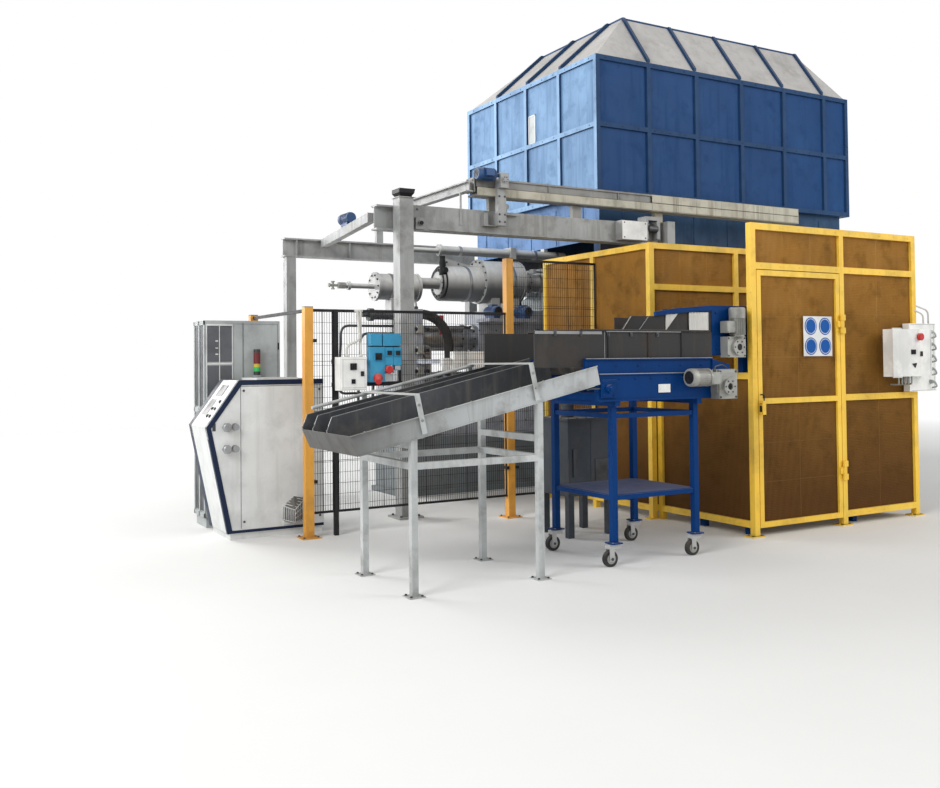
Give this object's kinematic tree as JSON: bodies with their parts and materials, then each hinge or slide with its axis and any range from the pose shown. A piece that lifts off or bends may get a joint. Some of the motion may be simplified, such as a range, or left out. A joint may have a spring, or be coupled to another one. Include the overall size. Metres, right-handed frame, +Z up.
{
  "type": "die casting machine",
  "caption": "Cold chamber die casting machine with fume hood, gantry, mesh guards with a hinged door, belt conveyor on casters and a sloping parts chute.",
  "frame": {"origin": "on the floor under the middle of the machine bed", "axes": "+X along the machine from the shot end to the clamp end, +Z up, -Y is the operator side"},
  "size_m": [10.391, 6.935, 6.16],
  "materials": {
    "beam_cream": "streaky cream grey paint",
    "belt_black": "black belt",
    "board_black": "black rubber board",
    "box_white": "off white paint",
    "bright_steel": "ground steel",
    "cabinet_grey": "grey paint",
    "cabinet_white": "grey white paint",
    "chute_steel": "worn grey paint and steel",
    "conveyor_blue": "royal blue paint",
    "cyan_blue": "cyan blue plastic",
    "dark_steel": "dark tool steel",
    "divider_dark": "charcoal sheet",
    "frame_blue_grey": "pale blue grey paint, dusty",
    "gantry_grey": "weathered grey paint",
    "guard_yellow": "yellow paint",
    "hood_blue": "blue paint",
    "hose_black": "black hose",
    "machine_grey": "grey machine paint, oily and worn",
    "mesh_black": "black paint",
    "motor_blue": "blue motor paint",
    "motor_silver": "cast aluminium",
    "post_orange": "orange yellow paint",
    "rib_navy": "navy paint",
    "roof_cream": "cream sheet, dusty",
    "screen_amber": "amber yellow wire",
    "tank_green": "grey green paint",
    "wheel_black": "black rubber tread",
    "zinc_steel": "zinc plated"
  },
  "bodies": {
    "base": {"machine_bed": "machine_grey", "fixed_platen": "machine_grey", "moving_platen": "machine_grey", "rear_platen": "machine_grey", "tie_bars": "bright_steel", "toggle_links": "dark_steel", "closing_cylinder": "machine_grey", "fixed_die": "dark_steel", "moving_die": "dark_steel", "shot_frame": "frame_blue_grey", "shot_cylinder": "bright_steel", "accumulators": "zinc_steel", "overhead_pipe": "zinc_steel", "shot_hose": "hose_black", "pump_motors": "motor_blue", "hydraulic_tank": "tank_green", "hood_panels": "hood_blue", "hood_ribs": "rib_navy", "hood_roof": "roof_cream", "roof_ribs": "rib_navy", "hood_skirt": "hood_blue", "hood_columns": "rib_navy", "die_enclosure": "rib_navy", "gantry_frame": "gantry_grey", "gantry_cross_beams": "gantry_grey", "travel_beam": "beam_cream", "travel_carriage": "gantry_grey", "gantry_motors": "motor_blue", "guard_front_frame": "guard_yellow", "guard_front_screens": "screen_amber", "guard_side_frame": "guard_yellow", "guard_side_screens": "screen_amber", "guard_switch_boxes": "box_white", "fence_posts": "post_orange", "fence_panels": "mesh_black", "conveyor_bed": "conveyor_blue", "conveyor_belt": "belt_black", "conveyor_table": "conveyor_blue", "conveyor_gearmotor": "motor_silver", "conveyor_boards": "board_black", "cross_conveyor": "conveyor_blue", "cross_gearmotor": "motor_silver", "chute_trough": "chute_steel", "chute_dividers": "divider_dark", "chute_hoops": "chute_steel", "chute_stand": "chute_steel", "temperature_unit": "cabinet_white", "control_cabinet": "cabinet_grey", "switch_boxes": "box_white", "socket_panel": "cyan_blue"},
    "guard_door": {"guard_door": "guard_yellow"},
    "caster_fork_1": {"caster_fork_1": "zinc_steel"},
    "caster_wheel_1": {"caster_wheel_1": "wheel_black"},
    "caster_fork_2": {"caster_fork_2": "zinc_steel"},
    "caster_wheel_2": {"caster_wheel_2": "wheel_black"},
    "caster_fork_3": {"caster_fork_3": "zinc_steel"},
    "caster_wheel_3": {"caster_wheel_3": "wheel_black"},
    "caster_fork_4": {"caster_fork_4": "zinc_steel"},
    "caster_wheel_4": {"caster_wheel_4": "wheel_black"}
  },
  "joints": [
    {"name": "guard_door_hinge", "type": "hinge", "parent": "base", "child": "guard_door", "pos_m": [-0.657, -4.59, 1.2], "axis": [0, 0, 1], "range_deg": [0, 100]},
    {"name": "caster_swivel_1", "type": "hinge", "parent": "base", "child": "caster_fork_1", "pos_m": [-3.64, -4.84, 0.19], "axis": [0, 0, 1], "continuous": true},
    {"name": "caster_spin_1", "type": "hinge", "parent": "caster_fork_1", "child": "caster_wheel_1", "pos_m": [-3.68, -4.84, 0.0625], "axis": [0, 1, 0], "continuous": true},
    {"name": "caster_swivel_2", "type": "hinge", "parent": "base", "child": "caster_fork_2", "pos_m": [-2.795, -4.84, 0.19], "axis": [0, 0, 1], "continuous": true},
    {"name": "caster_spin_2", "type": "hinge", "parent": "caster_fork_2", "child": "caster_wheel_2", "pos_m": [-2.835, -4.84, 0.0625], "axis": [0, 1, 0], "continuous": true},
    {"name": "caster_swivel_3", "type": "hinge", "parent": "base", "child": "caster_fork_3", "pos_m": [-3.64, -4.06, 0.19], "axis": [0, 0, 1], "continuous": true},
    {"name": "caster_spin_3", "type": "hinge", "parent": "caster_fork_3", "child": "caster_wheel_3", "pos_m": [-3.68, -4.06, 0.0625], "axis": [0, 1, 0], "continuous": true},
    {"name": "caster_swivel_4", "type": "hinge", "parent": "base", "child": "caster_fork_4", "pos_m": [-2.795, -4.06, 0.19], "axis": [0, 0, 1], "continuous": true},
    {"name": "caster_spin_4", "type": "hinge", "parent": "caster_fork_4", "child": "caster_wheel_4", "pos_m": [-2.835, -4.06, 0.0625], "axis": [0, 1, 0], "continuous": true}
  ]
}
